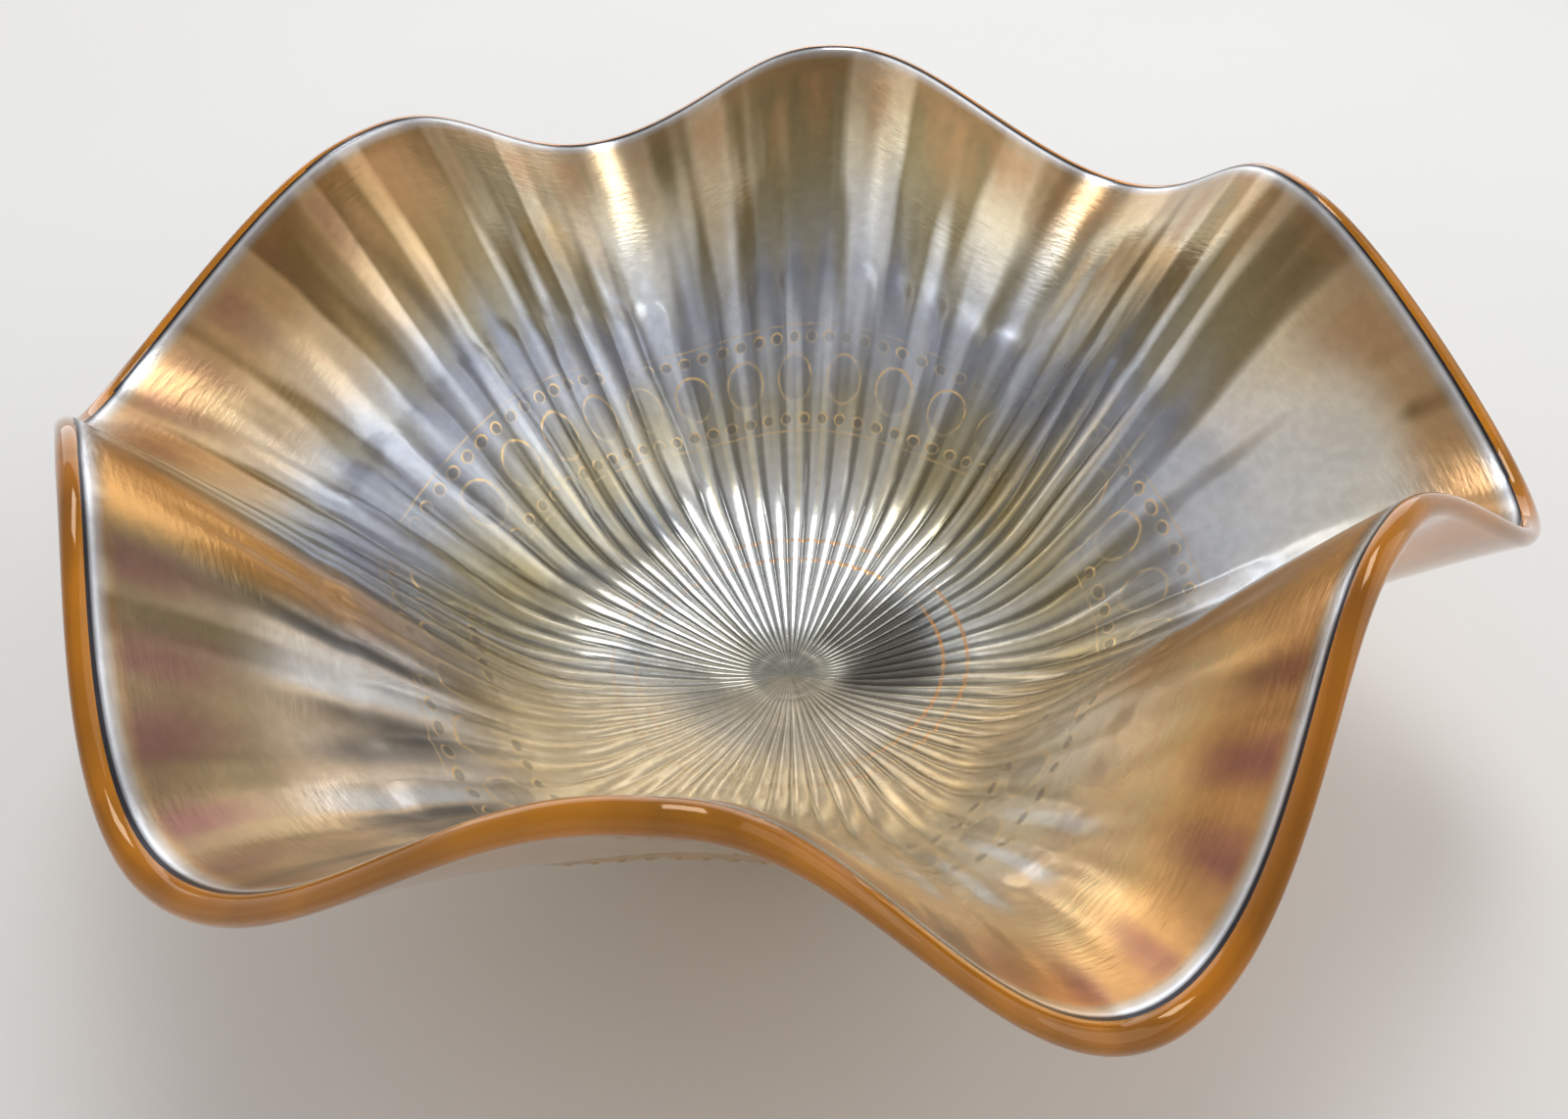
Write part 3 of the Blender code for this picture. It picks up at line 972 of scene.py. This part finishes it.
# %% Glass on the outside
AMBER_RUN = [
    (0.00, (0.96, 0.76, 0.42)),
    (0.30, (0.96, 0.70, 0.32)),
    (0.60, (0.94, 0.58, 0.17)),
    (0.85, (0.90, 0.43, 0.06)),
    (0.93, (0.84, 0.31, 0.010)),
    (1.00, (0.76, 0.27, 0.006)),
]
AMBER_STREAKS = (9.0, 9.0, 1.2)
DEEP_AMBER = (0.42, 0.17, 0.03)
CAP_HIGHLIGHT = (1.00, 0.86, 0.56)
GOLDEN_GLANCE = (1.00, 0.58, 0.20)

amber = GlassFinish("amber_glass")
place = amber.wall_place
spot = amber.place()
cloud = amber.noise(spot, 30.0, detail=3.0)
streak = amber.streaks(AMBER_STREAKS, detail=2.0)
amber.colour = amber.bands(amber.total(place, amber.scaled(cloud, 0.16, -0.08)), AMBER_RUN)
streak_depth = amber.spread(place, 0.40, 0.85, 0.90, 0.62)
amber.lay(amber.spread(streak, 0.3, 0.7, streak_depth, 1.1), 1.0, mode="MULTIPLY")
outlines, raised = band_marks(amber)
amber.lay(DEEP_AMBER, outlines, 0.5)
# painted highlight: the raised caps of the band are paler
amber.lay(CAP_HIGHLIGHT, raised, 0.35)
ripple = amber.bump(amber.noise(spot, 110.0, detail=2.0), 0.08, 0.6 * MM)
amber.set(
    Base_Color=amber.colour,
    Metallic=0.0,
    Roughness=amber.spread(cloud, 0.3, 0.7, 0.04, 0.12),
    IOR=1.5,
    Transmission_Weight=amber.spread(place, 0.5, 0.9, 0.75, 0.52),
    Specular_Tint=(*GOLDEN_GLANCE, 1.0),
    Coat_Weight=0.65,
    Coat_Roughness=0.02,
    Coat_IOR=1.5,
    Normal=ripple,
)

joint = Finish("running_glass")
joint.set(Base_Color=(0.8, 0.6, 0.4, 1.0), Alpha=0.0)
print("finishes:", amber.material.name, joint.material.name)

# %% [markdown]
# ## Casting the pieces
# The pieces are cut from the skin row by row. Each is a closed body: where the real glass runs on into the
# next piece, its faces are there but carry a clear finish that doesn't show. The normals are set from the
# whole skin, so light runs over the joint without a line.

# %% Cast a piece
FILM, AMBER, JOINT = 0, 1, 2
FINISHES = [film.material, amber.material, joint.material]


def cast(name, points, normals, places, bands, node, slot, ring):
    """Makes a closed piece of glass from rows of points. A ring closes on itself, a bowl at two poles."""
    rows = len(points)
    index = np.arange(rows * COLUMNS).reshape(rows, COLUMNS)
    onward = np.roll(index, -1, axis=1)
    following = np.roll(index, -1, axis=0)
    quads = np.stack([index, following, np.roll(following, -1, axis=1), onward], axis=2)
    finish_of_face = np.broadcast_to(np.reshape(bands, (rows, -1)), (rows, COLUMNS))
    vertices = points.reshape(-1, 3)
    vertex_normals = normals.reshape(-1, 3)
    carried = np.column_stack([
        np.tile(np.cos(azimuth), rows),
        np.tile(np.sin(azimuth), rows),
        np.repeat(places, COLUMNS),
        np.tile(flare, rows),
    ])
    fans = []
    if not ring:
        quads = quads[:-1]
        finish_of_face = finish_of_face[:-1]
        poles = [[0, 0, points[0, :, 2].mean()], [0, 0, points[-1, :, 2].mean()]]
        vertices = np.concatenate([vertices, poles])
        vertex_normals = np.concatenate([vertex_normals, [[0, 0, 1], [0, 0, -1]]])
        carried = np.concatenate([carried, np.zeros((2, 4))])
        top, bottom = rows * COLUMNS, rows * COLUMNS + 1
        fans = [(top, a, b) for a, b in zip(index[0].tolist(), onward[0].tolist())]
        fans += [(a, bottom, b) for a, b in zip(index[-1].tolist(), onward[-1].tolist())]
    mesh = bpy.data.meshes.new(name)
    mesh.from_pydata(vertices.tolist(), [], quads.reshape(-1, 4).tolist() + fans)
    for finish in FINISHES:
        mesh.materials.append(finish)
    half_fans = len(fans) // 2
    of_face = finish_of_face.ravel().tolist() + [FILM] * half_fans + [AMBER] * half_fans
    mesh.polygons.foreach_set("material_index", of_face)
    mesh.attributes.new("film_place", "FLOAT", "POINT").data.foreach_set("value", carried[:, 2].ravel())
    mesh.attributes.new("flare", "FLOAT", "POINT").data.foreach_set("value", carried[:, 3].ravel())
    mesh.attributes.new("sweep", "FLOAT_VECTOR", "POINT").data.foreach_set("vector", carried[:, :3].ravel())
    mesh.shade_smooth()
    mesh.normals_split_custom_set_from_vertices(vertex_normals.tolist())
    piece = bpy.data.objects.new(name, mesh)
    bpy.context.scene.collection.objects.link(piece)
    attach(piece, "root")
    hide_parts(node)
    print(f"{name}: {len(mesh.vertices)} points, {len(mesh.polygons)} faces")


# %% [markdown]
# ## The rayed body
# This is the pressed part: floor and lower wall inside, and the band of ovals outside, down to the flat seat
# over the foot ring. Its rows are picked out of the skin, so nothing has to be cut.

# %% Cast the rayed body
body_inside = len(inside_floor) + len(inside_body)
body_outside = len(outside_body) + len(neck)
body_glass = [
    np.concatenate([whole[:body_inside], whole[outside_start:], seat])
    for whole, seat in (
        (skin_points, recess_points),
        (skin_normals, recess_normals),
        (skin[:, PLACE], recess[:, PLACE]),
    )
]
body_bands = [FILM] * (body_inside - 1) + [JOINT]
body_bands += [AMBER] * (body_outside - 1) + [JOINT]
body_bands += [AMBER] * len(recess)
cast("rayed_body", *body_glass, body_bands, "bowl_body", "rayed_glass", ring=False)

# %% [markdown]
# ## The ruffled rim
# The crimped band above the rays, with the rounded edge that was polished in the fire. The film covers its
# inside up to the edge, where it ends in a painted reflection: a pale line and then a dark one. That line
# wanders a little round the bowl, so the finish is chosen face by face.

# %% Cast the ruffled rim
rim_rows = slice(body_inside - 1, outside_start + 1)
rim_places = skin[rim_rows, PLACE]
rim_thickness = rim_places[:, None] + EDGE_WANDER * (np.cos(azimuth - np.radians(EDGE_SIDE)) - 1)
is_inside = np.arange(len(rim_places)) < len(inside_rim) + len(edge)
rim_bands = np.where(is_inside[:, None] & (rim_thickness < FILM_END), FILM, AMBER)
rim_bands[-1] = JOINT
rim_glass = (skin_points[rim_rows], skin_normals[rim_rows], rim_places, rim_bands)
cast("crimped_rim", *rim_glass, "ruffled_rim", "rim_glass", ring=True)

# %% [markdown]
# ## The foot ring
# The bowl stands on a plain collar. Its lower edges are rounded, and only a narrow flat touches the table. A
# bevelled ring would look alike. A section carried round on the same columns meets the body point by point.

# %% Cast the foot ring
FOOT_PLACE = 0.15
FOOT_MIDDLE = (FOOT_RADIUS + FOOT_INSIDE) / 2
HALF_FOOT = np.array([
    (2.5, 5.3), (2.5, 4.2), (2.5, 3.0), (2.45, 2.0), (2.25, 1.2), (1.9, 0.6), (1.4, 0.18), (0.8, 0), (0, 0),
]) * MM
foot_profile = np.concatenate([HALF_FOOT, HALF_FOOT[-2::-1] * (-1, 1)]) + (FOOT_MIDDLE, 0)
foot_count = len(foot_profile)
foot_rows = np.column_stack([foot_profile, np.zeros((foot_count, 3)), np.full(foot_count, FOOT_PLACE)])
foot_points = place_points(foot_rows, np.zeros((foot_count, COLUMNS)))
foot_bands = [AMBER] * (foot_count - 1) + [JOINT]
foot_glass = (foot_points, smooth_normals(foot_points), foot_rows[:, PLACE], foot_bands)
cast("foot_ring", *foot_glass, "collar_base", "foot_glass", ring=True)

# %% [markdown]
# ## Studio floor
# A plain floor of pale paper. Far from the bowl it gives off its own pale tone to the camera and in
# reflections, so that it fades out evenly, and near the bowl it takes the light and the shadow.

# %% Studio floor
PAPER = (0.84, 0.83, 0.81)
FAR_PAPER = (0.78, 0.77, 0.755)
FADE_FROM, FADE_TO = 0.25, 0.9

bpy.ops.mesh.primitive_circle_add(vertices=96, radius=6.0, fill_type="NGON")
floor = bpy.context.object
floor.name = "studio_floor"
paper = Finish("pale_paper")
paper_tone = paper.spread(paper.noise(paper.place(), 3.0), 0.3, 0.7, 0.97, 1.0)
paper_colour = paper.mix(1.0, PAPER, paper_tone, "MULTIPLY")
from_bowl = paper.vector_math("LENGTH", paper.place(), (0, 0, 0), "Value")
ray = paper.tree.nodes.new("ShaderNodeLightPath").outputs
seen_ray = paper.chain("MAXIMUM", *(ray[f"Is {kind} Ray"] for kind in ("Camera", "Glossy", "Transmission")))
far_off = paper.product(paper.spread(from_bowl, FADE_FROM, FADE_TO), seen_ray)
paper.set(
    Base_Color=paper.mix(far_off, paper_colour, (0.0, 0.0, 0.0)),
    Roughness=0.9,
    Emission_Color=(*FAR_PAPER, 1.0),
    Emission_Strength=far_off,
)
floor.data.materials.append(paper.material)
print("floor:", floor.name)

# %% [markdown]
# ## Light
# A soft pale room and three large softboxes: overhead, at one side and behind. The film mirrors whatever is
# above it, so the room is a little darker overhead than at the horizon, and the softboxes draw bright ribs.

# %% Room and softboxes
HORIZON = (0.05, (0.85, 0.85, 0.85, 1))
OVERHEAD = (0.65, (0.40, 0.41, 0.43, 1))

world = bpy.data.worlds.new("soft_room")
bpy.context.scene.world = world
world.use_nodes = True
room = world.node_tree
direction = room.nodes.new("ShaderNodeTexCoord")
split = room.nodes.new("ShaderNodeSeparateXYZ")
shade = room.nodes.new("ShaderNodeValToRGB")
for element, (height, tone) in zip(shade.color_ramp.elements, (HORIZON, OVERHEAD)):
    element.position = height
    element.color = tone
room.links.new(direction.outputs["Generated"], split.inputs[0])
room.links.new(split.outputs["Z"], shade.inputs["Fac"])
room.links.new(shade.outputs["Color"], room.nodes["Background"].inputs["Color"])


def softbox(name, place, aim, width, depth, watts):
    """A rectangular area lamp that looks at a point."""
    lamp = bpy.data.lights.new(name, "AREA")
    lamp.shape = "RECTANGLE"
    lamp.size = width
    lamp.size_y = depth
    lamp.energy = watts
    holder = bpy.data.objects.new(name, lamp)
    holder.location = place
    holder.rotation_euler = (Vector(aim) - Vector(place)).to_track_quat("-Z", "Y").to_euler()
    bpy.context.scene.collection.objects.link(holder)


BOWL = (0, 0, 0.05)
softbox("overhead_box", (0.04, 0.375, 1.2), aim=(0.04, 0.375, 0), width=0.40, depth=0.65, watts=5.0)
softbox("side_box", (1.2, -0.2, 0.9), aim=BOWL, width=1.4, depth=1.4, watts=5.0)
softbox("back_box", (-0.2, 1.5, 0.65), aim=BOWL, width=2.6, depth=1.1, watts=10.0)
print("light: a soft room and", len(bpy.data.lights), "softboxes")

# %% [markdown]
# ## Camera
# The camera stands close and looks down over the near rim, at the photograph's angle. Its place, turn and
# focal length were fitted to the photograph together with the ruffles.

# %% Camera
FOCAL_PIXELS = 1499.6
IMAGE_WIDTH = 1600
SENSOR = 36.0
eye = Vector((0.01679, -0.22361, 0.23224))
yaw, pitch_down, roll = -0.0750, 0.70245, -0.05575
ahead = Vector((np.sin(yaw) * np.cos(pitch_down), np.cos(yaw) * np.cos(pitch_down), -np.sin(pitch_down)))
level = Vector((np.cos(yaw), -np.sin(yaw), 0))
raised = level.cross(ahead)
right = level * np.cos(roll) + raised * np.sin(roll)
up = raised * np.cos(roll) - level * np.sin(roll)
lens = bpy.data.cameras.new("camera")
lens.sensor_width = SENSOR
lens.lens = FOCAL_PIXELS * SENSOR / IMAGE_WIDTH
lens.clip_start = 0.01
camera = bpy.data.objects.new("camera", lens)
camera.matrix_world = Matrix.Translation(eye) @ Matrix((right, up, -ahead)).transposed().to_4x4()
bpy.context.scene.collection.objects.link(camera)
bpy.context.scene.camera = camera
bpy.context.scene.view_settings.view_transform = "Standard"
print(f"camera: {lens.lens:.1f} mm lens at {tuple(round(x, 3) for x in eye)}")
